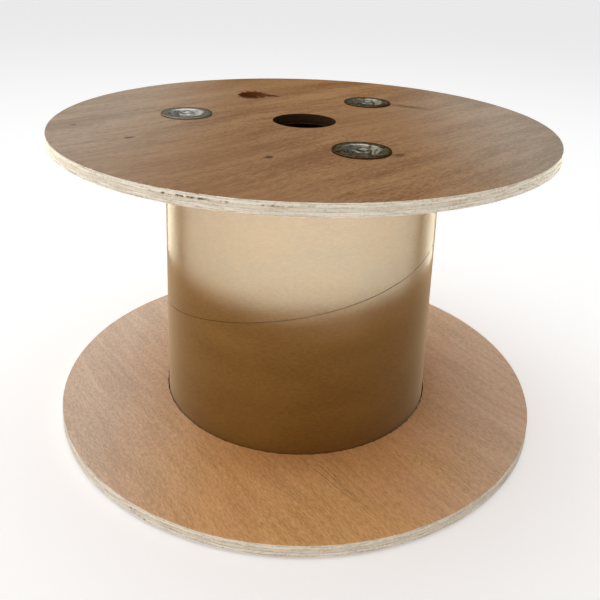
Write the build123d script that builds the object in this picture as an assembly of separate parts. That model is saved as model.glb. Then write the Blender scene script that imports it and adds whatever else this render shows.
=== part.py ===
"""Plywood wire spool: two round flanges clamped on a cardboard drum by three tie rods.

Millimetres. +Z runs up the spool's axis. The origin is on the axis, in the plane
that the lower dished washers' rims stand on. The first tie rod is on -Y.
"""

from build123d import *
import math
import os

# ---- driving dimensions ------------------------------------------------------------

# flanges: plywood discs, counted from outer face to outer face
flange_diameter = 400.0
flange_thickness = 9.0
face_veneer = 1.0
spool_height = 240.0
rim_round = 0.4
arbor_diameter = 51.0

# drum: spiral-wound cardboard tube, its ends let into a groove in each flange
drum_diameter = 224.0
drum_wall = 8.0
groove_depth = 2.0
groove_gap_outside = 0.8
groove_gap_inside = 0.4

# hole in the upper flange where the wire's inner end comes out
start_hole_diameter = 25.5
start_hole_radius = 112.5
start_hole_angle = 92.0
chip_length = 9.0
chip_width = 3.6
chip_angle = -35.0
chip_depth = 0.7

# fasteners: M8 threaded rod, dished washer and hexagon nut at each end
fastener_count = 3
first_fastener_angle = -90.0
bolt_circle_diameter = 196.0
rod_diameter = 8.0
rod_end_bevel = 0.8
rod_hole_diameter = 9.0

washer_diameter = 42.0
washer_sheet = 1.5
washer_hole_diameter = 8.6
dish_mouth_diameter = 28.4
dish_floor_diameter = 19.0
dish_depth = 6.5
washer_bend = 0.8
washer_edge_round = 0.3
pocket_gap = 0.5
pocket_floor_gap = 0.1

nut_across_flats = 13.0
nut_height = 6.2
nut_thread_gap = 0.05
nut_face_bevel = 30.0
nut_mouth_bevel = 0.6

# ---- levels worked out from them ---------------------------------------------------

# The washers' rims lie on the flanges, so they stand proud by their own thickness.
lower_outer_z = washer_sheet
lower_inner_z = lower_outer_z + flange_thickness
upper_outer_z = lower_outer_z + spool_height
upper_inner_z = upper_outer_z - flange_thickness
middle_z = lower_outer_z + spool_height / 2

flange_radius = flange_diameter / 2
drum_radius = drum_diameter / 2
bolt_radius = bolt_circle_diameter / 2
rod_radius = rod_diameter / 2
fastener_angles = [
    first_fastener_angle + turn * 360.0 / fastener_count
    for turn in range(fastener_count)
]


def at_angle(radius, angle):
    """Place on the flange, from the axis outwards."""
    turn = math.radians(angle)
    return radius * math.cos(turn), radius * math.sin(turn)


def cylinder(radius, low, high, centre=(0.0, 0.0)):
    """Upright cylinder between two levels."""
    base = Plane.XY.offset(low) * Pos(centre[0], centre[1])
    return extrude(base * Circle(radius), high - low)


def ring(inner_radius, outer_radius, low, high):
    """Upright tube between two levels."""
    face = Circle(outer_radius) - Circle(inner_radius)
    return extrude(Plane.XY.offset(low) * face, high - low)


def lathe(points):
    """Solid of revolution about Z from an outline of (radius, height) points."""
    outline = make_face(Plane.XZ * Polyline(*points, close=True))
    return revolve(outline, Axis.Z)


def mirrored_below(shape):
    """The same shape at the lower flange, turned over about the spool's middle."""
    return mirror(shape, Plane.XY.offset(middle_z))


# ---- dished washer -----------------------------------------------------------------

# The dish is a cone between the mouth, level with the rim's outer face, and the floor.
# The wall's outside is the same cone, moved out by the sheet's thickness.
dish_slope = (dish_mouth_diameter - dish_floor_diameter) / 2 / dish_depth
wall_offset = washer_sheet * math.hypot(1.0, dish_slope)
rim_top_z = upper_outer_z + washer_sheet
dish_floor_z = rim_top_z - dish_depth
dish_underside_z = dish_floor_z - washer_sheet


def dish_radius(height):
    """Inside radius of the dish's cone at a height."""
    return dish_mouth_diameter / 2 - dish_slope * (rim_top_z - height)


def dished_washer(angle):
    """Pressed washer: flat rim on the flange, conical wall, flat floor with a hole."""
    hole_radius = washer_hole_diameter / 2
    rim_radius = washer_diameter / 2
    floor_corner = Vector(dish_floor_diameter / 2, dish_floor_z)
    mouth_corner = Vector(dish_mouth_diameter / 2, rim_top_z)
    rim_underside_corner = Vector(dish_radius(upper_outer_z) + wall_offset, upper_outer_z)
    underside_corner = Vector(dish_radius(dish_underside_z) + wall_offset, dish_underside_z)
    outline = Polyline(
        (hole_radius, dish_floor_z),
        floor_corner,
        mouth_corner,
        (rim_radius, rim_top_z),
        (rim_radius, upper_outer_z),
        rim_underside_corner,
        underside_corner,
        (hole_radius, dish_underside_z),
        close=True,
    )
    profile = make_face(outline)
    for corner, radius in (
        (floor_corner, washer_bend),
        (rim_underside_corner, washer_bend),
        (mouth_corner, washer_bend + washer_sheet),
        (underside_corner, washer_bend + washer_sheet),
        (Vector(rim_radius, rim_top_z), washer_edge_round),
        (Vector(rim_radius, upper_outer_z), washer_edge_round),
    ):
        nearest = min(profile.vertices(), key=lambda point: (Vector(point) - corner).length)
        profile = fillet(nearest, radius)
    washer = revolve(Plane.XZ * profile, Axis.Z)
    return Pos(*at_angle(bolt_radius, angle), 0) * washer


def washer_pocket(angle):
    """Clearance that the dish and the rod need in the flange."""
    pocket_floor_z = dish_underside_z - pocket_floor_gap
    reach = wall_offset + pocket_gap
    pocket = lathe(
        [
            (0.0, pocket_floor_z),
            (dish_radius(pocket_floor_z) + reach, pocket_floor_z),
            (dish_radius(rim_top_z) + reach, rim_top_z),
            (0.0, rim_top_z),
        ]
    )
    rod_hole = cylinder(rod_hole_diameter / 2, upper_inner_z, rim_top_z)
    return Pos(*at_angle(bolt_radius, angle), 0) * (pocket + rod_hole)


# ---- nuts and rods -----------------------------------------------------------------


def hexagon_nut(angle):
    """Hexagon nut on the dish's floor, bevelled at both faces."""
    low = dish_floor_z
    high = dish_floor_z + nut_height
    flat_radius = nut_across_flats / 2
    corner_radius = flat_radius / math.cos(math.radians(30.0))
    corner_drop = (corner_radius - flat_radius) * math.tan(math.radians(nut_face_bevel))
    prism = extrude(Plane.XY.offset(low) * RegularPolygon(corner_radius, 6), nut_height)
    envelope = lathe(
        [
            (0.0, low),
            (flat_radius, low),
            (corner_radius, low + corner_drop),
            (corner_radius, high - corner_drop),
            (flat_radius, high),
            (0.0, high),
        ]
    )
    bore_radius = rod_radius + nut_thread_gap
    bore = lathe(
        [
            (0.0, low),
            (bore_radius + nut_mouth_bevel, low),
            (bore_radius, low + nut_mouth_bevel),
            (bore_radius, high - nut_mouth_bevel),
            (bore_radius + nut_mouth_bevel, high),
            (0.0, high),
        ]
    )
    nut = (prism & envelope) - bore
    turned = Rot(0, 0, angle + 15.0) * nut
    return Pos(*at_angle(bolt_radius, angle), 0) * turned


def tie_rod(angle):
    """Threaded rod, cut level with the flanges' outer faces."""
    rod = cylinder(rod_radius, lower_outer_z, upper_outer_z)
    rod = chamfer(rod.edges(), rod_end_bevel)
    return Pos(*at_angle(bolt_radius, angle), 0) * rod


# ---- drum --------------------------------------------------------------------------

drum_low_z = lower_inner_z - groove_depth
drum_high_z = upper_inner_z + groove_depth
drum_tube = ring(drum_radius - drum_wall, drum_radius, drum_low_z, drum_high_z)

# ---- flanges -----------------------------------------------------------------------


def flange_blank():
    """Upper flange with the holes that both flanges have."""
    blank = cylinder(flange_radius, upper_inner_z, upper_outer_z)
    blank = fillet(blank.edges(), rim_round)
    groove = ring(
        drum_radius - drum_wall - groove_gap_inside,
        drum_radius + groove_gap_outside,
        upper_inner_z,
        upper_inner_z + groove_depth,
    )
    blank -= groove
    blank -= cylinder(arbor_diameter / 2, upper_inner_z, upper_outer_z)
    for angle in fastener_angles:
        blank -= washer_pocket(angle)
    return blank


def start_hole():
    """Round hole beside the drum, with a splinter of face veneer torn out next to it."""
    centre = at_angle(start_hole_radius, start_hole_angle)
    hole = cylinder(start_hole_diameter / 2, upper_inner_z, upper_outer_z, centre)
    reach = start_hole_diameter / 2 + chip_length
    torn = make_face(
        Polyline((0.0, chip_width / 2), (reach, 0.0), (0.0, -chip_width / 2), close=True)
    )
    chip = extrude(torn, chip_depth)
    place = Pos(centre[0], centre[1], upper_outer_z - chip_depth)
    return hole + place * Rot(0, 0, chip_angle) * chip


def slice_between(flange, low, high):
    """The layer of a flange between two levels."""
    return flange & cylinder(flange_radius + 1.0, low, high)


upper_flange = flange_blank() - start_hole()
lower_flange = mirrored_below(flange_blank())

outer_skin_z = upper_outer_z - face_veneer
inner_skin_z = upper_inner_z + face_veneer
lower_outer_skin_z = lower_outer_z + face_veneer
lower_inner_skin_z = lower_inner_z - face_veneer

nodes = {
    "upper_flange_outer_veneer": slice_between(upper_flange, outer_skin_z, upper_outer_z),
    "upper_flange_core": slice_between(upper_flange, inner_skin_z, outer_skin_z),
    "upper_flange_inner_veneer": slice_between(upper_flange, upper_inner_z, inner_skin_z),
    "lower_flange_outer_veneer": slice_between(lower_flange, lower_outer_z, lower_outer_skin_z),
    "lower_flange_core": slice_between(lower_flange, lower_outer_skin_z, lower_inner_skin_z),
    "lower_flange_inner_veneer": slice_between(lower_flange, lower_inner_skin_z, lower_inner_z),
    "drum_tube": drum_tube,
}

for number, angle in enumerate(fastener_angles, start=1):
    washer = dished_washer(angle)
    nut = hexagon_nut(angle)
    nodes[f"tie_rod_{number}"] = tie_rod(angle)
    nodes[f"upper_dished_washer_{number}"] = washer
    nodes[f"upper_nut_{number}"] = nut
    nodes[f"lower_dished_washer_{number}"] = mirrored_below(washer)
    nodes[f"lower_nut_{number}"] = mirrored_below(nut)

# ---- export ------------------------------------------------------------------------

os.makedirs("parts", exist_ok=True)
for name, shape in nodes.items():
    export_step(shape, f"parts/{name}.step")
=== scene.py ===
import math

import bmesh
import bpy
from mathutils import Matrix, Vector, noise


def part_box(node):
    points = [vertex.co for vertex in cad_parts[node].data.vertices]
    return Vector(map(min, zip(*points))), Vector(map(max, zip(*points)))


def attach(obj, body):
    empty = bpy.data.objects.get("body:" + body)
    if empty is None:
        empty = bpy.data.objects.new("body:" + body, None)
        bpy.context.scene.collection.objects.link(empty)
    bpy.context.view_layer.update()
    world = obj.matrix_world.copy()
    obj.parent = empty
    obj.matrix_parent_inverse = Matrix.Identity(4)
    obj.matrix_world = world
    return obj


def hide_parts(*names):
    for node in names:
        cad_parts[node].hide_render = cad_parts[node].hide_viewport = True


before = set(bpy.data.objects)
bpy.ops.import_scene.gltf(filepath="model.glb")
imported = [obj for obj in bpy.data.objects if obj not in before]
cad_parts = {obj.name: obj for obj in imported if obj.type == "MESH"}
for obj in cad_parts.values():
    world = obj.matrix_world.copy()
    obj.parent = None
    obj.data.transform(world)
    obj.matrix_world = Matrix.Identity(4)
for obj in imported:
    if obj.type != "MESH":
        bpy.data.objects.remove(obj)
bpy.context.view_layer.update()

# ---- sizes, in metres: levels read off the frame, and the rest named here ------------

mm = 0.001

upper_core_low, upper_core_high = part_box("upper_flange_core")
lower_core_low, lower_core_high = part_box("lower_flange_core")
drum_low, drum_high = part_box("drum_tube")

flange_radius = 200 * mm
face_veneer = 1.0 * mm
drum_radius = 112 * mm
drum_wall = 8 * mm
groove_depth = 2.0 * mm
groove_gap_outside = 0.8 * mm
groove_gap_inside = 0.4 * mm
arbor_radius = 25.5 * mm
rod_hole_radius = 4.5 * mm

upper_outer_z = upper_core_high.z + face_veneer
upper_inner_z = upper_core_low.z - face_veneer
lower_outer_z = lower_core_low.z - face_veneer
middle_z = (upper_outer_z + lower_outer_z) / 2

start_hole_radius = 12.75 * mm
start_hole_centre = Vector((-3.93, 112.43, 0.0)) * mm
fastener_angles = [math.radians(-90 + 120 * turn) for turn in range(3)]
bolt_radius = 98 * mm
fastener_centres = [
    Vector((bolt_radius * math.cos(angle), bolt_radius * math.sin(angle), 0.0))
    for angle in fastener_angles
]

washer_sheet = 1.5 * mm
washer_radius = 21 * mm
washer_hole_radius = 4.3 * mm
dish_mouth_radius = 14.2 * mm
dish_floor_radius = 9.5 * mm
dish_depth = 6.5 * mm
washer_bend = 0.8 * mm
washer_top_z = upper_outer_z + washer_sheet
dish_floor_z = washer_top_z - dish_depth
dish_slope = (dish_mouth_radius - dish_floor_radius) / dish_depth
wall_offset = washer_sheet * math.hypot(1.0, dish_slope)
pocket_gap = 0.5 * mm
pocket_floor_gap = 0.1 * mm

# This fastener is painted a lighter grey than the others, with fainter shade at its rim.
lighter_fastener = 3

rod_radius = 3.95 * mm
rod_end_bevel = 0.8 * mm
thread_pitch = 1.25 * mm
thread_depth = 0.65 * mm
nut_flat_radius = 6.5 * mm
nut_height = 6.2 * mm

# Directions of the face grain, from +X towards +Y.
upper_grain = math.radians(20)
lower_grain = math.radians(-80)

# The line across the camera's view. The faces are painted greyer towards its ends, a
# painted sheen, and the light is brighter at one of them.
across_view = math.radians(-24.4)

# The drum's outer kraft strip: its seam climbs by one pitch in each turn. The seam of the
# strip under it shows through as a faint line, a little lower.
strip_pitch = 151 * mm
strip_thickness = 0.5 * mm
seam_gap = 0.45 * mm
seam_angle = math.radians(-112.6)
seam_height = 123.7 * mm
hidden_seam_below = 15.5 * mm


# ---- mesh helpers --------------------------------------------------------------------


def add_object(name, mesh):
    piece = bpy.data.objects.new(name, mesh)
    bpy.context.scene.collection.objects.link(piece)
    return piece


def grid(name, rows, caps=True):
    """Mesh through rows of points, each row a loop. Caps fill the end rows."""
    count = len(rows[0])
    points = [point for row in rows for point in row]
    faces = []
    for row in range(len(rows) - 1):
        low = row * count
        high = low + count
        for i in range(count):
            j = (i + 1) % count
            faces.append((low + i, low + j, high + j, high + i))
    if caps:
        last = (len(rows) - 1) * count
        faces.append(tuple(range(count - 1, -1, -1)))
        faces.append(tuple(range(last, last + count)))
    mesh = bpy.data.meshes.new(name)
    mesh.from_pydata(points, [], faces)
    mesh.validate()
    mesh.update()
    return add_object(name, mesh)


def ring_row(radius, z, count, centre=Vector((0, 0, 0)), shift=None):
    """One loop of a lathe. shift gives a change of radius and height at each angle."""
    row = []
    for i in range(count):
        angle = math.tau * i / count
        change, lift = shift(angle, z) if shift else (0.0, 0.0)
        reach = radius + change
        x = centre.x + reach * math.cos(angle)
        y = centre.y + reach * math.sin(angle)
        row.append((x, y, z + lift))
    return row


def lathe(name, profile, count, centre=Vector((0, 0, 0)), shift=None):
    """Solid of revolution through (radius, height) points, from bottom to top."""
    return grid(name, [ring_row(radius, z, count, centre, shift) for radius, z in profile])


def closed_lathe(name, profile, count, centre=Vector((0, 0, 0)), shift=None):
    """Solid of revolution round a hole: the profile's last point joins its first."""
    rows = [ring_row(radius, z, count, centre, shift) for radius, z in profile + profile[:1]]
    piece = grid(name, rows, caps=False)
    weld(piece)
    return piece


def weld(piece):
    """Joins points that lie in the same place, and turns the faces outwards."""
    shape = bmesh.new()
    shape.from_mesh(piece.data)
    bmesh.ops.remove_doubles(shape, verts=shape.verts, dist=1e-6)
    bmesh.ops.recalc_face_normals(shape, faces=shape.faces)
    shape.to_mesh(piece.data)
    shape.free()


def mirrored(piece, name):
    """A copy turned over about the reel's middle level."""
    copy = piece.data.copy()
    copy.transform(Matrix.Translation((0, 0, 2 * middle_z)) @ Matrix.Diagonal((1, 1, -1, 1)))
    copy.flip_normals()
    return add_object(name, copy)


def cut(piece, cutters):
    """Takes the cutters out of a piece, one after another, and deletes them."""
    for cutter in cutters:
        weld(cutter)
        modifier = piece.modifiers.new("cut", "BOOLEAN")
        modifier.operation = "DIFFERENCE"
        modifier.solver = "EXACT"
        modifier.object = cutter
        graph = bpy.context.evaluated_depsgraph_get()
        mesh = bpy.data.meshes.new_from_object(piece.evaluated_get(graph))
        piece.modifiers.clear()
        piece.data = mesh
        bpy.data.objects.remove(cutter)


def settle(piece, material, nodes, smooth_angle=30):
    """Gives a finished piece its material, and hides the nodes that it stands for."""
    piece.data.materials.clear()
    piece.data.materials.append(material)
    piece.data.shade_smooth()
    piece.data.set_sharp_from_angle(angle=math.radians(smooth_angle))
    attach(piece, "root")
    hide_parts(*nodes)


def rough(angle, z, seed, scale):
    """Noise from -1 to 1 over a flange's rim."""
    around = Vector((math.cos(angle), math.sin(angle), 0)) * flange_radius
    return noise.noise((around + Vector((0, 0, z + seed))) * scale)


# ---- material helpers ----------------------------------------------------------------


def set_range(node, low, high, to_low, to_high):
    """Sets what a Map Range node goes from, and what it goes to."""
    ends = {"From Min": low, "From Max": high, "To Min": to_low, "To Max": to_high}
    for name, number in ends.items():
        node.inputs[name].default_value = number


class Shader:
    """A material and short calls that add and link its nodes."""

    def __init__(self, name):
        self.material = bpy.data.materials.new(name)
        self.material.use_nodes = True
        self.tree = self.material.node_tree
        self.surface = self.tree.nodes["Principled BSDF"]
        self.place = self.tree.nodes.new("ShaderNodeTexCoord").outputs["Object"]

    def put(self, value, socket):
        if isinstance(value, bpy.types.NodeSocket):
            self.tree.links.new(value, socket)
        else:
            socket.default_value = value

    def give(self, name, value):
        """Sets one of the surface's inputs, or links a node's output to it."""
        self.put(value, self.surface.inputs[name])

    def maths(self, operation, *values):
        node = self.tree.nodes.new("ShaderNodeMath")
        node.operation = operation
        for value, socket in zip(values, node.inputs):
            self.put(value, socket)
        return node.outputs[0]

    def weighted(self, *parts):
        """Sum of values, each times its own weight."""
        total = None
        for value, weight in parts:
            term = value if weight == 1 else self.maths("MULTIPLY", value, weight)
            total = term if total is None else self.maths("ADD", total, term)
        return total

    def vector(self, operation, *values):
        node = self.tree.nodes.new("ShaderNodeVectorMath")
        node.operation = operation
        for value, socket in zip(values, node.inputs):
            self.put(value, socket)
        return node.outputs["Value" if operation == "LENGTH" else "Vector"]

    def part_of(self, vector, axis):
        """One coordinate of a vector: 0 for X, 1 for Y, 2 for Z."""
        node = self.tree.nodes.new("ShaderNodeSeparateXYZ")
        self.put(vector, node.inputs[0])
        return node.outputs[axis]

    def from_axis(self, centre=(0.0, 0.0)):
        """Distance from the reel's axis, or from an upright line through another point."""
        away = self.vector("SUBTRACT", self.place, (*centre, 0.0))
        return self.vector("LENGTH", self.vector("MULTIPLY", away, (1, 1, 0)))

    def flatness(self):
        """1 on a level face, 0 on an upright wall."""
        normal = self.tree.nodes.new("ShaderNodeNewGeometry").outputs["True Normal"]
        return self.maths("ABSOLUTE", self.part_of(normal, 2))

    def mapped(self, turn=0.0, scale=(1, 1, 1), shift=(0, 0, 0), source=None):
        """Coordinates turned about Z so that X runs along the turn, scaled, then shifted."""
        node = self.tree.nodes.new("ShaderNodeMapping")
        node.vector_type = "TEXTURE"
        node.inputs["Rotation"].default_value = (0, 0, turn)
        self.put(source or self.place, node.inputs["Vector"])
        return self.vector("ADD", self.vector("MULTIPLY", node.outputs[0], scale), shift)

    def noise(self, where, scale=1.0, detail=2.0, roughness=0.5, distortion=0.0):
        node = self.tree.nodes.new("ShaderNodeTexNoise")
        self.put(where, node.inputs["Vector"])
        node.inputs["Scale"].default_value = scale
        node.inputs["Detail"].default_value = detail
        node.inputs["Roughness"].default_value = roughness
        node.inputs["Distortion"].default_value = distortion
        return node.outputs["Fac"]

    def band(self, value, low, high, to_low=0.0, to_high=1.0):
        """Smooth step of a value from low to high."""
        node = self.tree.nodes.new("ShaderNodeMapRange")
        node.interpolation_type = "SMOOTHSTEP"
        self.put(value, node.inputs["Value"])
        set_range(node, low, high, to_low, to_high)
        return node.outputs[0]

    def between(self, share, first, second):
        """A number that goes from the first value to the second as share goes 0 to 1."""
        node = self.tree.nodes.new("ShaderNodeMix")
        node.data_type = "FLOAT"
        self.put(share, node.inputs[0])
        self.put(first, node.inputs[2])
        self.put(second, node.inputs[3])
        return node.outputs[0]

    def mix(self, share, first, second):
        """A colour that goes from the first to the second as share goes 0 to 1."""
        node = self.tree.nodes.new("ShaderNodeMix")
        node.data_type = "RGBA"
        self.put(share, node.inputs[0])
        self.put(first, node.inputs[6])
        self.put(second, node.inputs[7])
        return node.outputs[2]

    def blot(self, centre, radius, softness, wobble, stretch, turn):
        """1 inside an uneven round mark on the flange, 0 outside."""
        away = self.vector("SUBTRACT", self.place, (*centre, 0.0))
        turned = self.mapped(turn, (1 / stretch, 1, 0), source=away)
        uneven = self.weighted((self.vector("LENGTH", turned), 1), (wobble, radius * 0.9))
        return self.band(uneven, radius + softness, radius - softness)

    def gloss(self, full, least, falls_from, falls_to):
        """Specular level that falls from full to least as the surface turns away.

        The turn is 0 face on and 1 edge on. Close to edge on, the level fades to nothing.
        """
        fades_from = 0.72
        fades_to = 0.90
        facing = self.tree.nodes.new("ShaderNodeLayerWeight")
        facing.inputs["Blend"].default_value = 0.5
        turned = facing.outputs["Facing"]
        level = self.band(turned, falls_from, falls_to, full, least)
        fade = self.band(turned, fades_from, fades_to, 1.0, 0.0)
        self.give("Specular IOR Level", self.maths("MULTIPLY", level, fade))

    def bump(self, height, distance, strength):
        node = self.tree.nodes.new("ShaderNodeBump")
        node.inputs["Strength"].default_value = strength
        node.inputs["Distance"].default_value = distance
        self.put(height, node.inputs["Height"])
        self.give("Normal", node.outputs[0])

    def finish(self, colour, roughness, metallic=0.0):
        self.give("Base Color", colour)
        self.give("Roughness", roughness)
        self.give("Metallic", metallic)
        return self.material


def colour(red, green, blue):
    return (red, green, blue, 1.0)


def scaled(tint, share):
    """A colour made darker by a share under 1, or lighter by one over 1."""
    return colour(*(share * channel for channel in tint[:3]))


# ---- wood ----------------------------------------------------------------------------


def sawn_edge(shader):
    """Colour and tone of the plies' pale sawn edge: streaks, fine fibres, painted shade in pits."""
    streak = shader.noise(shader.mapped(scale=(70, 70, 1500)), detail=3)
    fibre = shader.noise(shader.mapped(scale=(600, 600, 600), shift=(3, 1, 7)))
    tone = shader.between(0.3, streak, fibre)
    pale = shader.mix(
        shader.band(tone, 0.34, 0.56), colour(0.53, 0.44, 0.335), colour(0.85, 0.765, 0.64)
    )
    stained = shader.band(shader.noise(shader.place, scale=22, detail=3), 0.58, 0.74, 0.0, 0.35)
    pale = shader.mix(stained, pale, colour(0.52, 0.42, 0.30))
    # Painted shade: the edge is darker where it lies in below the full radius, in pits and gaps.
    pit_shade = shader.band(
        shader.from_axis(), flange_radius - 0.45 * mm, flange_radius - 1.0 * mm, 0.0, 0.85
    )
    return shader.mix(pit_shade, pale, colour(0.20, 0.13, 0.075)), tone


def hole_walls(shader, shown):
    """The holes' walls are painted dark brown as shade, darkest in the arbor hole."""
    radius = shader.from_axis()
    in_hole = shader.band(radius, 150 * mm, 140 * mm, 0.0, 0.96)
    in_arbor = shader.band(radius, 60 * mm, 40 * mm)
    # Painted shade in the holes: dark brown, near black in the arbor hole.
    wall_shade = shader.mix(in_arbor, colour(0.150, 0.047, 0.007), colour(0.034, 0.014, 0.004))
    return shader.mix(in_hole, shown, wall_shade)


def glue_lines(shader, base, height, levels):
    """Thin uneven lines of darker glue where two plies meet."""
    uneven = shader.noise(shader.place, scale=90)
    width = shader.maths("MULTIPLY", uneven, 0.22 * mm)
    for level in levels:
        off = shader.maths("ABSOLUTE", shader.maths("SUBTRACT", height, level))
        line = shader.maths("LESS_THAN", off, width)
        base = shader.mix(shader.maths("MULTIPLY", line, 0.55), base, colour(0.20, 0.12, 0.06))
    return base


def grain_place(shader, grain, seed):
    """Place with X along the grain, which wanders slowly sideways."""
    along = shader.mapped(grain, shift=(seed, seed * 1.7, 0))
    bend = shader.noise(shader.place, scale=6)
    wander = shader.tree.nodes.new("ShaderNodeCombineXYZ")
    shader.put(shader.maths("MULTIPLY", bend, 30 * mm), wander.inputs["Y"])
    return shader.vector("ADD", along, wander.outputs[0])


def paint_end_sheen(shader, face, grain_tone, cloud, ends):
    """Greys the face towards both ends of the line across the view: a painted sheen."""
    grey, grey_low, grey_high = ends
    across = shader.part_of(shader.mapped(across_view), 0)
    uneven = shader.weighted((across, 1), (cloud, 40 * mm))
    low_end = shader.band(uneven, -20 * mm, -150 * mm, 0.0, grey_low)
    high_end = shader.band(uneven, 80 * mm, 195 * mm, 0.0, grey_high)
    greyed = shader.mix(grain_tone, scaled(grey, 0.82), scaled(grey, 1.14))
    return shader.mix(shader.maths("ADD", low_end, high_end), face, greyed)


def add_marks(shader, face, marks):
    """Stains, wood laid bare by tearing, and painted shade, each with an uneven outline."""
    wobble = shader.maths("SUBTRACT", shader.noise(shader.place, scale=260), 0.5)
    for centre, radius, softness, stretch, turn, strength, tint in marks:
        place = (centre[0] * mm, centre[1] * mm)
        mark = shader.blot(place, radius * mm, softness * mm, wobble, stretch, turn)
        face = shader.mix(shader.maths("MULTIPLY", mark, strength), face, tint)
    return face


def veneer_material(name, grain, seed, tones, ends, marks=()):
    """Tropical face veneer, lightly sanded: soft figure, short open pores, satin.

    tones are its light, dark and clouded colours, then the figure's weight and the
    clouds' strength. ends is the greyer colour painted at two opposite sides as a painted
    sheen, and how strong that is on each side.
    """
    light, dark, cloud_tint, figure_weight, cloud_strength = tones
    shader = Shader(name)
    place = grain_place(shader, grain, seed)

    def grained(along, across, **settings):
        """Noise at its own scale along the grain and across it."""
        return shader.noise(shader.vector("MULTIPLY", place, (along, across, 1)), **settings)

    figure = grained(7, 34, detail=4, roughness=0.6)
    ribbon = grained(22, 210, detail=4, roughness=0.6)
    fleck = grained(210, 900, detail=3, roughness=0.7)
    fibre = grained(120, 1300)
    pore_tone = shader.weighted((grained(240, 1500, detail=1), 1), (grained(26, 90), 0.25))
    pores = shader.band(pore_tone, 0.72, 0.80)
    tone = shader.weighted((figure, figure_weight), (ribbon, 0.2), (fleck, 0.4))
    middle_tone = (figure_weight + 0.6) / 2
    grain_tone = shader.band(tone, middle_tone - 0.09, middle_tone + 0.09)
    cloud = shader.noise(shader.place, scale=11, detail=4, roughness=0.6)
    face = shader.mix(grain_tone, dark, light)
    face = shader.mix(shader.band(cloud, 0.38, 0.66, 0.0, cloud_strength), face, cloud_tint)
    # Painted sheen: the face turns greyer towards both ends of the line across the view.
    face = paint_end_sheen(shader, face, grain_tone, cloud, ends)
    face = shader.mix(shader.maths("MULTIPLY", pores, 0.2), face, colour(0.12, 0.045, 0.02))
    face = add_marks(shader, face, marks)
    # Painted shade: the face is darkened at the arbor hole's lip.
    arbor_lip_shade = shader.band(
        shader.from_axis(), arbor_radius + 0.50 * mm, arbor_radius + 0.25 * mm, 0.0, 0.9
    )
    face = shader.mix(arbor_lip_shade, face, colour(0.085, 0.034, 0.008))
    edge = hole_walls(shader, sawn_edge(shader)[0])
    steep = shader.band(shader.flatness(), 0.75, 0.45)
    shader.bump(shader.weighted((ribbon, 0.5), (fibre, 0.35), (pores, -0.6)), 0.12 * mm, 0.5)
    shader.gloss(0.04, 0.03, 0.5, 0.9)
    roughness = shader.band(ribbon, 0.3, 0.7, 0.52, 0.42)
    return shader.finish(shader.mix(steep, face, edge), shader.between(steep, roughness, 0.8))


def core_material(name, low, high):
    """The three inner plies, seen at the rim and in the holes."""
    shader = Shader(name)
    edge, tone = sawn_edge(shader)
    height = shader.part_of(shader.place, 2)
    thickness = high - low
    levels = (low, low + 0.32 * thickness, low + 0.68 * thickness, high)
    shown = glue_lines(shader, edge, height, levels)
    off_middle = shader.maths("ABSOLUTE", shader.maths("SUBTRACT", height, (low + high) / 2))
    centre_ply = shader.band(off_middle, 0.19 * thickness, 0.17 * thickness, 0.0, 0.35)
    shown = shader.mix(centre_ply, shown, colour(0.62, 0.50, 0.36))
    shown = hole_walls(shader, shown)
    shader.bump(tone, 0.25 * mm, 0.6)
    shader.give("Specular IOR Level", 0.05)
    return shader.finish(shown, 0.82)


# ---- kraft board ---------------------------------------------------------------------


def seam_floor(shader):
    """1 on the tube body where it shows between the strip's edges, 0 elsewhere."""
    radius = shader.from_axis()
    below_strip = shader.band(radius, drum_radius - 0.15 * mm, drum_radius - 0.22 * mm)
    on_body = shader.maths("GREATER_THAN", radius, drum_radius - strip_thickness - 0.2 * mm)
    return shader.maths("MULTIPLY", below_strip, on_body)


def kraft_material(name):
    """Smooth kraft paper with a slight gloss, fine fibres and flecks. Its ends are dull, and dark.
    """
    shader = Shader(name)
    cloud = shader.noise(shader.mapped(scale=(18, 18, 40)), detail=4)
    band_tone = shader.noise(shader.mapped(scale=(30, 30, 340)), detail=3)
    fibre = shader.noise(shader.mapped(scale=(260, 260, 900)), detail=3, roughness=0.7)
    grit = shader.noise(shader.place, scale=700)
    fine = shader.weighted((fibre, 0.5), (grit, 0.2))
    tone = shader.weighted((fine, 1), (cloud, 0.3))
    base = shader.mix(
        shader.band(tone, 0.34, 0.66), colour(0.160, 0.066, 0.0085), colour(0.225, 0.102, 0.0165)
    )
    specks = shader.maths("GREATER_THAN", grit, 0.68)
    base = shader.mix(shader.maths("MULTIPLY", specks, 0.2), base, colour(0.06, 0.022, 0.005))
    # Painted shade: the tube's ends, in the grooves and under the start hole, are painted dark.
    end = shader.band(shader.flatness(), 0.3, 0.6)
    base = shader.mix(end, base, colour(0.10, 0.030, 0.007))
    # Painted shade: the body is painted near black where it shows in the seam's gap.
    in_seam = seam_floor(shader)
    base = shader.mix(in_seam, base, colour(0.03, 0.014, 0.005))
    relief = shader.weighted((cloud, 0.6), (band_tone, 0.3), (fine, 0.25))
    shader.bump(relief, 0.10 * mm, 0.12)
    shader.give("Sheen Weight", shader.between(in_seam, 1.0, 0.0))
    shader.give("Sheen Roughness", 0.4)
    shader.give("Sheen Tint", colour(1.0, 0.84, 0.60))
    shader.gloss(0.245, 0.004, 0.04, 0.60)
    smooth = shader.band(shader.maths("ADD", cloud, band_tone), 0.8, 1.2, 0.16, 0.20)
    dull = shader.maths("MAXIMUM", end, in_seam)
    return shader.finish(base, shader.between(dull, smooth, 0.95))


# ---- zinc ----------------------------------------------------------------------------


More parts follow.
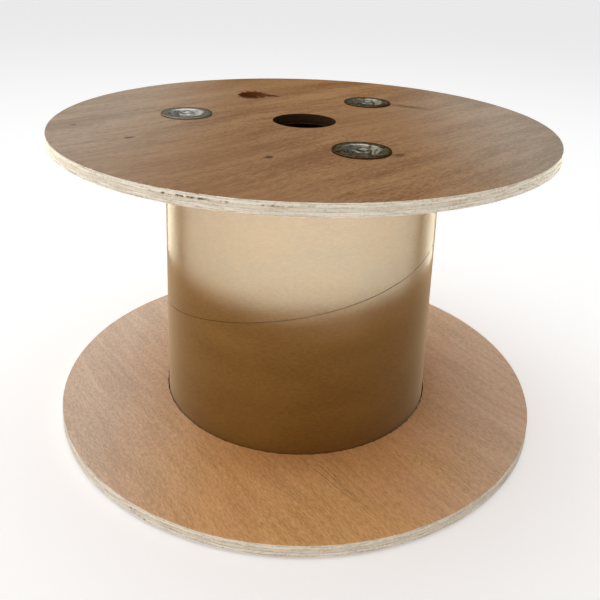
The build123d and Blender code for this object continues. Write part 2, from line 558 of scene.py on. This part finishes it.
def zinc_material(name, tint, roughness_low, roughness_high, tarnish):
    """Dull zinc plate: mottled grey, brown tarnish patches, painted shade at rims' edges."""
    shader = Shader(name)
    mottle = shader.noise(shader.place, scale=260, detail=4)
    rust = shader.noise(shader.place, scale=240, detail=3, distortion=0.5)
    base = shader.mix(shader.band(mottle, 0.34, 0.64), scaled(tint, 0.6), tint)
    brown_tint = colour(0.085, 0.052, 0.026)
    base = shader.mix(shader.band(rust, 0.50, 0.68, 0.0, tarnish), base, brown_tint)
    reach = (washer_radius + 6 * mm, washer_radius + 4 * mm)
    rim_shade_band = (washer_radius - 2.6 * mm, washer_radius - 0.4 * mm)
    for number, centre in enumerate(fastener_centres, start=1):
        radius = shader.from_axis(centre.xy)
        edge_shade = tarnish
        if number == lighter_fastener:
            lighter = shader.band(radius, *reach, 0.0, 0.65)
            base = shader.mix(lighter, base, colour(0.60, 0.59, 0.56))
            edge_shade = 0.4 * tarnish
        uneven = shader.weighted((radius, 1), (rust, 1.6 * mm))
        near = shader.band(uneven, *reach)
        # Painted shade: a brown band along each washer rim's edge, fainter on the lighter fastener.
        edge = shader.band(uneven, *rim_shade_band, 0.0, edge_shade)
        base = shader.mix(shader.maths("MULTIPLY", near, edge), base, brown_tint)
    spangle = shader.noise(shader.place, scale=1100)
    shader.bump(spangle, 0.10 * mm, 0.15)
    shader.give("Specular Tint", colour(0.50, 0.44, 0.34))
    roughness = shader.band(mottle, 0.3, 0.7, roughness_low, roughness_high)
    return shader.finish(base, roughness, metallic=1.0)


# ---- flanges -------------------------------------------------------------------------

# Points round a flange's rim.
rim_count = 2160

# Rounding of a flange's outer corners.
rim_round = 0.35 * mm

# Hairline cracks in the lower flange's inner face: both ends and the width.
cracks = (
    ((-43.5 * mm, -107.0 * mm), (-17.5 * mm, -193.0 * mm), 0.35 * mm),
    ((-36.5 * mm, -109.5 * mm), (-18.5 * mm, -183.0 * mm), 0.30 * mm),
    ((-30.0 * mm, -118.0 * mm), (-23.5 * mm, -165.0 * mm), 0.25 * mm),
)


def end_grain(angle, grain):
    """1 where the rim cuts a ply's fibres across, 0 where it runs along them."""
    return math.cos(angle - grain) ** 2


def ply_shift(grain, seed, pit_depth, gaps):
    """Radial wear of a ply's edge: saw waves, end-grain pits and open core gaps."""

    def shift(angle, z):
        wave = 0.10 * mm * (rough(angle, 0, seed, 30) - 1)
        fine = 0.05 * mm * (rough(angle, z * 3, seed, 700) - 1)
        pit = rough(angle, z * 1.6, seed + 0.4, 420) - 0.3
        depth = pit_depth * (0.3 + end_grain(angle, grain)) * min(max(pit * 4, 0.0), 1.0)
        for centre, half_width, depth_there, level, half_height in gaps:
            off = (angle - centre + math.pi) % math.tau - math.pi
            inside = 1 - min(abs(off) / half_width, 1.0)
            near = 1 - min(abs(z - level) / half_height, 1.0)
            torn = max(rough(angle, z, seed + 0.9, 520) + 0.25, 0.0)
            depth += depth_there * min(inside * 3, 1.0) * min(near * 2, 1.0) * torn
        return wave + fine - depth, 0.0

    return shift


def rim_corner(size, level, inwards):
    """Points round a corner of the rim, from the face at a level out towards the wall."""
    steps = 4
    turns = [math.radians(90 * step / steps) for step in range(steps)]
    return [
        (flange_radius - size * (1 - math.sin(turn)), level + inwards * size * (1 - math.cos(turn)))
        for turn in turns
    ]


def layer_blank(name, low, high, shift, rows, round_low=0.0, round_high=0.0):
    """Disc between two levels with a worn rim; an outer corner may be rounded."""
    body_low = low + round_low
    body_high = high - round_high
    profile = rim_corner(round_low, low, 1) if round_low else []
    profile += [
        (flange_radius, body_low + (body_high - body_low) * row / rows) for row in range(rows + 1)
    ]
    if round_high:
        profile += reversed(rim_corner(round_high, high, -1))
    return lathe(name, profile, rim_count, shift=shift)


def drilled(radius, low, high, centre, seed, lip=0.25 * mm, fray=0.12 * mm, count=180):
    """Cutter for a drilled hole: a rough wall, and lips that flare where they leave."""

    def shift(angle, z):
        across = Vector((math.cos(angle), math.sin(angle), z * 40 + seed))
        return fray * noise.noise(across * 6) + 0.4 * fray * noise.noise(across * 25), 0.0

    past = 0.6 * mm
    profile = [
        (radius + lip + past * 0.5, low - past),
        (radius + lip, low),
        (radius + lip * 0.3, low + lip * 0.7),
        (radius, low + 2 * lip),
        (radius, (low + high) / 2),
        (radius, high - 2 * lip),
        (radius + lip * 0.3, high - lip * 0.7),
        (radius + lip, high),
        (radius + lip + past * 0.5, high + past),
    ]
    return lathe("hole cutter", profile, count, centre, shift)


def dish_radius(z):
    """Inside radius of an upper washer's cone at a height."""
    return dish_mouth_radius - dish_slope * (washer_top_z - z)


def pocket_cutter(centre):
    """Cutter for a washer's conical seat and the rod's hole under it."""
    floor = dish_floor_z - washer_sheet - pocket_floor_gap
    top = upper_outer_z + 1 * mm
    reach = wall_offset + pocket_gap
    profile = [
        (rod_hole_radius, upper_inner_z - 1 * mm),
        (rod_hole_radius, floor),
        (dish_radius(floor) + reach, floor),
        (dish_radius(top) + reach, top),
    ]
    return lathe("pocket cutter", profile, 96, centre)


def groove_cutter(seed):
    """Cutter for the drum's groove: its outer edge is frayed where the veneer tore."""
    inner = drum_radius - drum_wall - groove_gap_inside
    outer = drum_radius + groove_gap_outside
    count = 1080

    def fray(angle, z):
        around = Vector((math.cos(angle), math.sin(angle), 0))
        nick = max(noise.noise(around * 26 + Vector((0, 0, seed))) - 0.1, 0)
        tooth = noise.noise(around * 150 + Vector((0, 0, seed)))
        near_face = 1.0 if z < upper_inner_z + face_veneer else 0.3
        return near_face * mm * (0.45 * tooth + 0.9 * nick), 0.0

    top = upper_inner_z + groove_depth
    rows = [
        ring_row(inner, top, count),
        ring_row(inner, upper_inner_z - 1 * mm, count),
        ring_row(outer, upper_inner_z - 1 * mm, count, shift=fray),
        ring_row(outer, upper_inner_z + 0.9 * face_veneer, count, shift=fray),
        ring_row(outer, top, count),
        ring_row(inner, top, count),
    ]
    return grid("groove cutter", rows, caps=False)


def chip_cutter():
    """Cutter for the splinter of veneer torn out beside the start hole."""
    heading = math.radians(-35)
    starts_at = 8 * mm
    length = 13.6 * mm
    half_width = 1.9 * mm
    deepest = 0.75 * mm
    above = Vector((0, 0, 1 * mm))
    steps = 14
    along = Vector((math.cos(heading), math.sin(heading), 0))
    across = Vector((-along.y, along.x, 0))
    base = start_hole_centre + along * starts_at
    rows = []
    for step in range(steps + 1):
        share = step / steps
        ragged = 0.25 * mm * abs(noise.noise(Vector((share * 9, 4.2, 0))))
        half = half_width * (1 - share) ** 0.8 + 0.05 * mm + ragged * (1 - share)
        down = Vector((0, 0, -deepest * (1 - 0.7 * share)))
        middle = base + along * (length * share)
        middle.z = upper_outer_z
        rows.append(
            [
                tuple(middle + across * half + above),
                tuple(middle + across * half),
                tuple(middle + across * half * 0.5 + down),
                tuple(middle - across * half * 0.6 + down * 0.8),
                tuple(middle - across * half),
                tuple(middle - across * half + above),
            ]
        )
    return grid("chip cutter", rows)


def crack_cutter(start, end, width, seed):
    """Cutter for a hairline crack in the inner face veneer, from one point to another."""
    first = Vector((*start, 0))
    last = Vector((*end, 0))
    along = (last - first).normalized()
    across = Vector((-along.y, along.x, 0))
    deep = Vector((0, 0, 0.3 * mm))
    steps = 40
    rows = []
    for step in range(steps + 1):
        share = step / steps
        sway = 0.9 * mm * noise.noise(Vector((share * 3, seed, 0)))
        fine = 0.25 * mm * noise.noise(Vector((share * 20, seed, 1)))
        uneven = 0.7 + 0.5 * noise.noise(Vector((share * 12, seed, 2)))
        half = width / 2 * (0.15 + math.sin(math.pi * share)) * uneven
        middle = first + (last - first) * share + across * (sway + fine)
        middle.z = upper_inner_z
        rows.append(
            [
                tuple(middle + across * half * 2 - deep),
                tuple(middle + deep),
                tuple(middle - across * half * 2 - deep),
            ]
        )
    return grid("crack cutter", rows)


def layer_and_span(name, layer, shift):
    """A layer's blank, and the levels between which its holes are drilled."""
    core = (upper_core_low.z, upper_core_high.z)
    if layer == "core":
        overrun = 0.01 * mm
        return layer_blank(name, *core, shift, 22), (core[0] - overrun, core[1] + overrun)
    if layer == "outer_veneer":
        span = (core[1], upper_outer_z)
        return layer_blank(name, *span, shift, 3, round_high=rim_round), span
    span = (upper_inner_z, core[0])
    return layer_blank(name, *span, shift, 3, round_low=rim_round), span


def layer_cutters(side, layer, span, seed):
    """Cutters for one layer's holes, and for its groove, splinter and cracks if any."""
    cutters = [drilled(arbor_radius, *span, Vector((0, 0, 0)), seed)]
    if layer == "inner_veneer":
        cutters += [
            drilled(rod_hole_radius, *span, centre, seed, 0.05 * mm, 0.05 * mm, 48)
            for centre in fastener_centres
        ]
    else:
        cutters += [pocket_cutter(centre) for centre in fastener_centres]
    if layer != "outer_veneer":
        cutters.append(groove_cutter(seed))
    if side == "upper":
        cutters.append(drilled(start_hole_radius, *span, start_hole_centre, seed + 5, fray=0.3 * mm))
        if layer != "inner_veneer":
            cutters.append(chip_cutter())
    if side == "lower" and layer == "inner_veneer":
        for number, (start, end, width) in enumerate(cracks):
            cutters.append(crack_cutter(start, end, width, number + 2.5))
    return cutters


def build_flanges(upper_outer, upper_inner, lower_outer, lower_inner, upper_core, lower_core):
    """Six layers. The lower flange's are cut turned over, then mirrored into place."""
    crossband = upper_core_low.z + 0.70 * (upper_core_high.z - upper_core_low.z)
    # Torn gaps in a core's rim: angle, half width, depth, level and half height.
    upper_gaps = (
        (math.radians(-134), math.radians(8), 1.8 * mm, crossband, 0.8 * mm),
        (math.radians(-121), math.radians(7), 1.1 * mm, crossband, 0.6 * mm),
    )
    lower_gaps = (
        (math.radians(-147), math.radians(1.2), 1.2 * mm, crossband, 2.2 * mm),
        (math.radians(-100), math.radians(9), 0.6 * mm, crossband, 0.7 * mm),
    )
    plans = (
        ("upper", "outer_veneer", upper_outer, upper_grain, ()),
        ("upper", "core", upper_core, upper_grain + math.pi / 2, upper_gaps),
        ("upper", "inner_veneer", upper_inner, upper_grain, ()),
        ("lower", "outer_veneer", lower_outer, lower_grain, ()),
        ("lower", "core", lower_core, lower_grain + math.pi / 2, lower_gaps),
        ("lower", "inner_veneer", lower_inner, lower_grain, ()),
    )
    for number, (side, layer, material, grain, gaps) in enumerate(plans):
        seed = 0.31 * (number + 1)
        name = f"{side}_flange_{layer}"
        pit_depth = 0.38 * mm if layer == "core" else 0.25 * mm
        piece, span = layer_and_span(name, layer, ply_shift(grain, seed, pit_depth, gaps))
        cut(piece, layer_cutters(side, layer, span, seed))
        if side == "lower":
            turned = mirrored(piece, name)
            bpy.data.objects.remove(piece)
            piece = turned
        settle(piece, material, [name])
        piece.name = name + "_shape"


# ---- drum ----------------------------------------------------------------------------


def seam_z(turned):
    """Height of the strip's seam after turning by an angle from its named place."""
    return seam_height + strip_pitch * turned / math.tau


def build_tube_body(material):
    """Tube under the outer strip. Its ends are ribbed, as the wound layers' edges are."""
    low = drum_low.z
    high = drum_high.z
    inner = drum_radius - drum_wall
    outer = drum_radius - strip_thickness
    rib = 0.12 * mm
    steps = 12

    def uneven(angle, z):
        place = Vector((math.cos(angle) * 3, math.sin(angle) * 3, z * 20))
        return 0.03 * mm * noise.noise(place), 0.0

    end = [(inner + (outer - inner) * step / steps, rib * (step % 2)) for step in range(steps + 1)]
    profile = [(radius, low + dip) for radius, dip in end]
    profile += [(outer, low + (high - low) * row / 40) for row in range(1, 40)]
    profile += [(radius, high - dip) for radius, dip in reversed(end)]
    profile += [(inner, high + (low - high) * row / 20) for row in range(1, 20)]
    body = closed_lathe("drum_tube_body", profile, 360, shift=uneven)
    settle(body, material, ["drum_tube"])


def places_across_strip():
    """Distances below the upper seam: closer at the strip's edges and the hidden seam."""
    width = strip_pitch - seam_gap
    near_edge = [0.0, 0.15, 0.4, 0.7, 1.2]
    near_hidden_seam = [14.4, 15.0, 15.5, 16.0, 16.6]
    places = [mark * mm for mark in near_edge + [5.0, 10.0] + near_hidden_seam + [19.0]]
    places += [width * share / 12 for share in range(2, 12)]
    places += [width - mark * mm for mark in reversed(near_edge)]
    return places


def wound_rows(low, high):
    """Sections of the outer strip, one after another along its winding."""
    across = places_across_strip()
    near = drum_radius - strip_thickness + 0.02 * mm
    per_turn = 480
    first = math.floor((low - seam_height) / strip_pitch * per_turn) - 2
    last = math.ceil((high - seam_height) / strip_pitch * per_turn) + per_turn + 2
    rows = []
    for i in range(first, last + 1):
        turned = math.tau * i / per_turn
        cosine = math.cos(seam_angle + turned)
        sine = math.sin(seam_angle + turned)
        outer_row = []
        inner_row = []
        for below in across:
            z = seam_z(turned) - below - seam_gap / 2
            trace = 0.015 * mm * max(1 - abs(below - hidden_seam_below) / (0.4 * mm), 0.0)
            soft = 0.06 * mm * (noise.noise(Vector((cosine * 4, sine * 4, z * 25))) - 1)
            reach = drum_radius - trace + soft
            outer_row.append((reach * cosine, reach * sine, z))
            inner_row.append((near * cosine, near * sine, z))
        rows.append(outer_row + inner_row[::-1])
    return rows


def trim_ends(piece, low, high):
    """Cuts a solid off level below and above, and closes the cuts."""
    shape = bmesh.new()
    shape.from_mesh(piece.data)
    for level, outside in ((low, (0, 0, -1)), (high, (0, 0, 1))):
        geometry = shape.verts[:] + shape.edges[:] + shape.faces[:]
        result = bmesh.ops.bisect_plane(
            shape, geom=geometry, plane_co=(0, 0, level), plane_no=outside, clear_outer=True
        )
        edges = [e for e in result["geom_cut"] if isinstance(e, bmesh.types.BMEdge)]
        bmesh.ops.contextual_create(shape, geom=edges)
    bmesh.ops.recalc_face_normals(shape, faces=shape.faces)
    shape.to_mesh(piece.data)
    shape.free()


def build_drum(material):
    """Tube body, and the outer kraft strip wound round it with an open butt seam."""
    build_tube_body(material)
    strip = grid("drum_outer_strip", wound_rows(drum_low.z, drum_high.z))
    trim_ends(strip, drum_low.z, drum_high.z)
    settle(strip, material, ["drum_tube"])


# ---- fasteners -----------------------------------------------------------------------


def rounded(points, radii):
    """A closed outline with each corner turned into an arc of its own radius."""
    outline = []
    count = len(points)
    for n, (corner, radius) in enumerate(zip(points, radii)):
        here = Vector(corner)
        before = (Vector(points[n - 1]) - here).normalized()
        after = (Vector(points[(n + 1) % count]) - here).normalized()
        if radius == 0:
            outline.append(tuple(here))
            continue
        half = before.angle(after) / 2
        reach = radius / math.tan(half)
        middle = here + (before + after).normalized() * (radius / math.sin(half))
        begin = here + before * reach - middle
        end = here + after * reach - middle
        sweep = begin.angle_signed(end)
        steps = 6
        for step in range(steps + 1):
            turn = Matrix.Rotation(-sweep * step / steps, 2)
            outline.append(tuple(middle + turn @ begin))
    return outline


def washer_outline():
    """Section of an upper washer: from its hole along the top, and back underneath."""
    underside = dish_floor_z - washer_sheet
    points = [
        (washer_hole_radius, dish_floor_z),
        (dish_floor_radius, dish_floor_z),
        (dish_mouth_radius, washer_top_z),
        (washer_radius, washer_top_z),
        (washer_radius, upper_outer_z),
        (dish_radius(upper_outer_z) + wall_offset, upper_outer_z),
        (dish_radius(underside) + wall_offset, underside),
        (washer_hole_radius, underside),
    ]
    inside = washer_bend
    outside = washer_bend + washer_sheet
    edge = 0.35 * mm
    hole_edge = 0.2 * mm
    return rounded(points, (hole_edge, inside, outside, edge, edge, inside, outside, hole_edge))


def thread_radius(angle, z, crest):
    """Radius of a V thread with a narrow flat crest and root."""
    # Both are shares of half a pitch.
    half_crest = 0.1
    flank = 0.75
    phase = (z / thread_pitch - angle / math.tau) % 1.0
    from_crest = abs(phase - 0.5) * 2
    return crest - thread_depth * min(max((from_crest - half_crest) / flank, 0.0), 1.0)


def build_rod(number, centre, material):
    """Threaded rod, bevelled at both ends."""
    low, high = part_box(f"tie_rod_{number}")
    end_gap = 0.02 * mm
    step = thread_pitch / 5
    levels = [low.z + end_gap]
    while levels[-1] + step < high.z - end_gap:
        levels.append(levels[-1] + step)
    levels.append(high.z - end_gap)

    def threaded(angle, z):
        limit = rod_radius - max(rod_end_bevel - min(z - low.z, high.z - z), 0.0)
        return min(thread_radius(angle, z, rod_radius), limit) - rod_radius, 0.0

    profile = [(rod_radius, z) for z in levels]
    rod = lathe(f"tie_rod_{number}_shape", profile, 22, centre, threaded)
    weld(rod)
    settle(rod, material, [f"tie_rod_{number}"], 40)


def nut_rows(centre, turn):
    """Loops of a bevelled hexagon nut with a threaded bore, all round the section."""
    low = dish_floor_z
    high = low + nut_height
    count = 96
    bevel = math.tan(math.radians(30))
    face_radius = nut_flat_radius * 0.97
    corner_radius = nut_flat_radius * 1.135
    land = 0.15 * mm
    crest = rod_radius + 0.08 * mm
    mouth_radius = crest + 0.35 * mm
    mouth_depth = 0.45 * mm
    bore_steps = 40

    def loop(radius_of, z_of):
        row = []
        for i in range(count):
            angle = math.tau * i / count
            reach = radius_of(angle)
            x = centre.x + reach * math.cos(angle + turn)
            y = centre.y + reach * math.sin(angle + turn)
            row.append((x, y, z_of(angle)))
        return row

    def hexagon(angle):
        off = (angle + math.pi / 6) % (math.pi / 3) - math.pi / 6
        return min(nut_flat_radius / math.cos(off), corner_radius)

    def drop(angle):
        return (hexagon(angle) - face_radius) * bevel

    def bore(z):
        return lambda angle: thread_radius(angle + turn, z, crest)

    rows = [
        loop(lambda a: mouth_radius, lambda a: low),
        loop(lambda a: face_radius, lambda a: low),
        loop(hexagon, lambda a: low + drop(a)),
        loop(hexagon, lambda a: low + drop(a) + land),
        loop(hexagon, lambda a: high - drop(a) - land),
        loop(hexagon, lambda a: high - drop(a)),
        loop(lambda a: face_radius, lambda a: high),
        loop(lambda a: mouth_radius, lambda a: high),
    ]
    for step in range(bore_steps + 1):
        z = high - mouth_depth - (nut_height - 2 * mouth_depth) * step / bore_steps
        rows.append(loop(bore(z), lambda a, z=z: z))
    rows.append(rows[0])
    return rows


def build_fasteners(washer_zinc, nut_zinc, rod_zinc_painted_shade):
    """Three rods, each with a washer and a nut at both ends; the lower ones are mirrored."""
    outline = washer_outline()
    for number, centre in enumerate(fastener_centres, start=1):

        def dented(angle, z, seed=number * 3.7):
            place = Vector((math.cos(angle) * 1.5, math.sin(angle) * 1.5, seed))
            return 0.10 * mm * noise.noise(place), 0.05 * mm * (noise.noise(place * 1.7) - 1)

        washer = closed_lathe(f"upper_dished_washer_{number}_shape", outline, 128, centre, dented)
        lower_washer = mirrored(washer, f"lower_dished_washer_{number}_shape")
        settle(washer, washer_zinc, [f"upper_dished_washer_{number}"], 50)
        settle(lower_washer, washer_zinc, [f"lower_dished_washer_{number}"], 50)
        nut = grid(f"upper_nut_{number}_shape", nut_rows(centre, 0.4 + 0.9 * number), caps=False)
        weld(nut)
        lower_nut = mirrored(nut, f"lower_nut_{number}_shape")
        settle(nut, nut_zinc, [f"upper_nut_{number}"])
        settle(lower_nut, nut_zinc, [f"lower_nut_{number}"])
        build_rod(number, centre, rod_zinc_painted_shade)


# ---- the object ----------------------------------------------------------------------

# A veneer's light, dark and clouded colours, its figure's weight and its clouds' strength.
brown = (
    colour(0.415, 0.232, 0.104), colour(0.245, 0.114, 0.047), colour(0.355, 0.193, 0.088), 0.36, 0.5
)
orange = (
    colour(0.93, 0.560, 0.245), colour(0.66, 0.345, 0.132), colour(0.86, 0.45, 0.27), 0.12, 0.3
)
# Painted sheen at both ends of the line across the view: its grey and each end's strength.
brown_sheen_ends = (colour(0.435, 0.335, 0.250), 0.9, 1.0)
orange_sheen_ends = (colour(0.78, 0.62, 0.495), 0.9, 0.68)

# Marks on a face: centre, radius and softness in millimetres, then stretch and its
# direction, strength and colour.
stain = colour(0.075, 0.033, 0.014)
torn_wood_and_shade = colour(0.095, 0.030, 0.007)
drum_foot_shade = colour(0.50, 0.19, 0.05)
# The lower face's mark is painted shade: warmer and darker beside the drum's foot.
lower_marks = (((-47.0, -104.0), 15.0, 22.0, 3.0, across_view, 0.45, drum_foot_shade),)
upper_marks = (
    # The first mark, round the start hole and stretched along the view, is painted shade.
    ((-3.9, 112.4), 13.5, 1.1, 1.36, math.radians(66), 0.88, torn_wood_and_shade),
    # These two are the splinter's torn wood.
    ((9.0, 107.0), 5.2, 0.8, 1.4, math.radians(-60), 0.95, torn_wood_and_shade),
    ((14.0, 103.0), 3.4, 0.8, 1.7, math.radians(-50), 0.9, torn_wood_and_shade),
    ((-67.0, -92.5), 2.5, 1.0, 1.3, upper_grain, 0.85, stain),
    ((-144.0, -15.0), 1.9, 0.8, 2.2, upper_grain, 0.75, stain),
    ((-156.0, -19.0), 0.6, 0.4, 9.0, upper_grain, 0.6, stain),
    ((-177.0, 37.0), 2.0, 0.7, 1.4, upper_grain, 0.6, stain),
    ((20.0, -115.0), 3.4, 2.2, 1.4, upper_grain, 0.7, stain),
    ((113.0, 25.5), 4.8, 4.4, 3.2, math.radians(-50), 0.6, stain),
)
build_flanges(
    veneer_material("upper_face_veneer", upper_grain, 2.0, brown, brown_sheen_ends, upper_marks),
    veneer_material("upper_inner_veneer", upper_grain, 5.0, orange, orange_sheen_ends),
    veneer_material("lower_outer_veneer", lower_grain, 7.0, brown, brown_sheen_ends),
    veneer_material("lower_face_veneer", lower_grain, 9.0, orange, orange_sheen_ends, lower_marks),
    core_material("upper_core_plies", upper_core_low.z, upper_core_high.z),
    core_material("lower_core_plies", lower_core_low.z, lower_core_high.z),
)
build_drum(kraft_material("kraft_board"))
build_fasteners(
    zinc_material("washer_zinc", colour(0.36, 0.345, 0.275), 0.20, 0.30, 0.85),
    zinc_material("nut_zinc", colour(0.36, 0.35, 0.29), 0.22, 0.36, 0.7),
    # The rods are painted near black: painted shade in the nuts' bores, where their ends show.
    zinc_material("rod_zinc_painted_shade", colour(0.06, 0.055, 0.045), 0.45, 0.6, 0.6),
)

# ---- stage, light and camera ---------------------------------------------------------


def build_floor():
    """Pale floor under the reel, a little bright in itself so that it stays near white."""
    bpy.ops.mesh.primitive_plane_add(size=12.0, location=(0, 0, 0))
    floor = bpy.context.object
    floor.name = "floor"
    shader = Shader("pale_floor")
    shader.give("Emission Color", colour(1.0, 1.0, 1.0))
    shader.give("Emission Strength", 0.35)
    shader.give("Specular IOR Level", 0.0)
    floor.data.materials.append(shader.finish(colour(0.86, 0.86, 0.86), 1.0))


def build_world():
    """White to the camera. As a light, dimmer overhead, on one side and in a far strip."""
    world = bpy.data.worlds.new("studio")
    bpy.context.scene.world = world
    world.use_nodes = True
    tree = world.node_tree
    direction = tree.nodes.new("ShaderNodeTexCoord").outputs["Generated"]
    bright_side = (-math.cos(across_view), -math.sin(across_view), 0.0)
    far_side = (-math.sin(across_view), math.cos(across_view), 0.0)

    def ranged(axis, low, high, at_low, at_high):
        """Strength that changes evenly as the direction turns towards an axis."""
        along = tree.nodes.new("ShaderNodeVectorMath")
        along.operation = "DOT_PRODUCT"
        tree.links.new(direction, along.inputs[0])
        along.inputs[1].default_value = axis
        fade = tree.nodes.new("ShaderNodeMapRange")
        set_range(fade, low, high, at_low, at_high)
        tree.links.new(along.outputs["Value"], fade.inputs[0])
        return fade.outputs[0]

    def product_of(first, second):
        product = tree.nodes.new("ShaderNodeMath")
        product.operation = "MULTIPLY"
        tree.links.new(first, product.inputs[0])
        tree.links.new(second, product.inputs[1])
        return product.outputs[0]

    height = ranged((0, 0, 1), 0.1, 0.7, 1.15, 0.55)
    side = ranged(bright_side, -0.8, 0.8, 0.32, 1.35)
    dim_strip = ranged(far_side, 0.86, 0.98, 1.0, 0.2)
    strength = product_of(product_of(height, side), dim_strip)
    seen = tree.nodes.new("ShaderNodeMix")
    tree.links.new(tree.nodes.new("ShaderNodeLightPath").outputs["Is Camera Ray"], seen.inputs[0])
    tree.links.new(strength, seen.inputs[2])
    seen.inputs[3].default_value = 1.0
    background = tree.nodes["Background"]
    tree.links.new(seen.outputs[0], background.inputs["Strength"])
    background.inputs["Color"].default_value = colour(1.0, 1.0, 1.0)


def soft_light(name, place, target, size, power):
    """Square lamp, in metres and watts, that the camera doesn't see."""
    lamp = bpy.data.lights.new(name, "AREA")
    lamp.shape = "SQUARE"
    lamp.size = size
    lamp.energy = power
    holder = bpy.data.objects.new(name, lamp)
    holder.location = place
    holder.rotation_mode = "QUATERNION"
    aim = Vector(target) - Vector(place)
    holder.rotation_quaternion = aim.to_track_quat("-Z", "Y")
    holder.visible_camera = False
    bpy.context.scene.collection.objects.link(holder)


def floor_glow(inner, edge, plateau, outer, brightness):
    """What the reel's glossy board reflects: brightly lit floor beyond a dim patch.

    The bright part starts at the edge radius and fades beyond the plateau radius.
    """
    dim = 0.3
    rows = [ring_row(radius, 2 * mm, 192) for radius in (inner, edge, outer)]
    glow = grid("floor_glow", rows, caps=False)
    shader = Shader("floor_glow_light")
    radius = shader.vector("LENGTH", shader.place)
    lit = shader.band(radius, plateau, outer, brightness, 0.25 * brightness)
    beyond = shader.maths("GREATER_THAN", radius, edge)
    shader.give("Emission Strength", shader.between(beyond, dim, lit))
    tint = shader.mix(beyond, colour(1.0, 0.60, 0.25), colour(0.98, 1.0, 0.82))
    shader.give("Emission Color", tint)
    glow.data.materials.append(shader.finish(colour(0.0, 0.0, 0.0), 1.0))
    glow.visible_camera = False
    glow.visible_diffuse = False
    glow.visible_shadow = False
    glow.visible_transmission = False


def place_camera():
    """The camera's place and lens, worked out from the reel's outlines."""
    azimuth = math.radians(-114.41)
    distance = 576.5 * mm
    height = 374.0 * mm
    pitch = math.radians(15.75)
    yaw = math.radians(-0.26)
    roll = math.radians(1.86)
    focal_in_widths = 1.2105

    lens = bpy.data.cameras.new("camera")
    lens.sensor_width = 36.0
    lens.lens = focal_in_widths * lens.sensor_width
    lens.shift_y = -0.24
    lens.clip_start = 0.01
    camera = bpy.data.objects.new("camera", lens)
    bpy.context.scene.collection.objects.link(camera)
    outwards = Vector((math.cos(azimuth), math.sin(azimuth), 0))
    sideways = Vector((-outwards.y, outwards.x, 0))
    level = -outwards * math.cos(yaw) + sideways * math.sin(yaw)
    forward = level * math.cos(pitch) - Vector((0, 0, math.sin(pitch)))
    right = forward.cross(Vector((0, 0, 1))).normalized()
    up = right.cross(forward)
    rolled_right = right * math.cos(roll) + up * math.sin(roll)
    rolled_up = up * math.cos(roll) - right * math.sin(roll)
    turned = Matrix((rolled_right, rolled_up, -forward)).transposed()
    eye = outwards * distance + Vector((0, 0, height))
    camera.matrix_world = Matrix.Translation(eye) @ turned.to_4x4()
    bpy.context.scene.camera = camera


build_floor()
build_world()
soft_light("overhead", place=(0.1, 0.3, 1.6), target=(0, 0, 0.1), size=1.6, power=9)
floor_glow(inner=0.206, edge=0.358, plateau=0.9, outer=2.2, brightness=23.5)
place_camera()
bpy.context.scene.view_settings.view_transform = "Standard"
